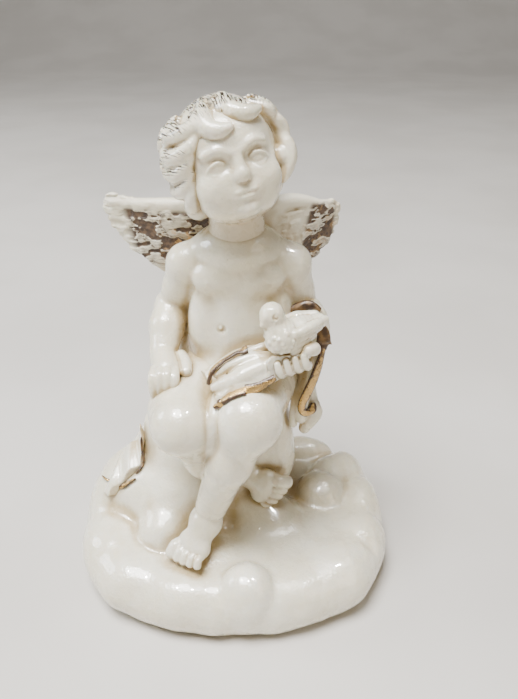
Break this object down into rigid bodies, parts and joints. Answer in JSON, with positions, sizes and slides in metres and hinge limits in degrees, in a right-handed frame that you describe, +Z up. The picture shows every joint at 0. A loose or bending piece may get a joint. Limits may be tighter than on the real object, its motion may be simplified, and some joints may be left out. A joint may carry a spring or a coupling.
{
  "type": "cherub figurine",
  "caption": "Seated winged child figurine of glossy cast resin on a rounded mound, with a dove in its hand, gilt-edged drapery and a flat felted underside.",
  "frame": {"origin": "centre of the underside of the felt, on the surface the figure stands on", "axes": "+Z up through the head, -Y the way the figure faces, +X the figure's left, where the dove is"},
  "size_m": [0.059, 0.051, 0.0871],
  "materials": {
    "resin_ivory": "glossy cream lacquer over cast resin, darker in the recesses",
    "resin_antiqued": "cream resin with a brown and bronze antique wash in the grooves",
    "resin_gilt_edged": "cream resin with hems painted antique gold",
    "felt": "thin beige felt",
    "steel_wire": "plain drawn wire"
  },
  "bodies": {
    "root": {"base_mound": "resin_ivory", "seat_rock": "resin_ivory", "torso": "resin_ivory", "head": "resin_ivory", "arm_left": "resin_ivory", "arm_right": "resin_ivory", "leg_left": "resin_ivory", "leg_right": "resin_ivory", "dove": "resin_ivory", "hair_cap": "resin_antiqued", "wing_left": "resin_antiqued", "wing_right": "resin_antiqued", "lap_drape": "resin_gilt_edged", "sash_tail": "resin_gilt_edged", "drape_end": "resin_gilt_edged", "felt_pad": "felt", "wing_pins": "steel_wire", "dove_pin": "steel_wire"}
  },
  "joints": []
}
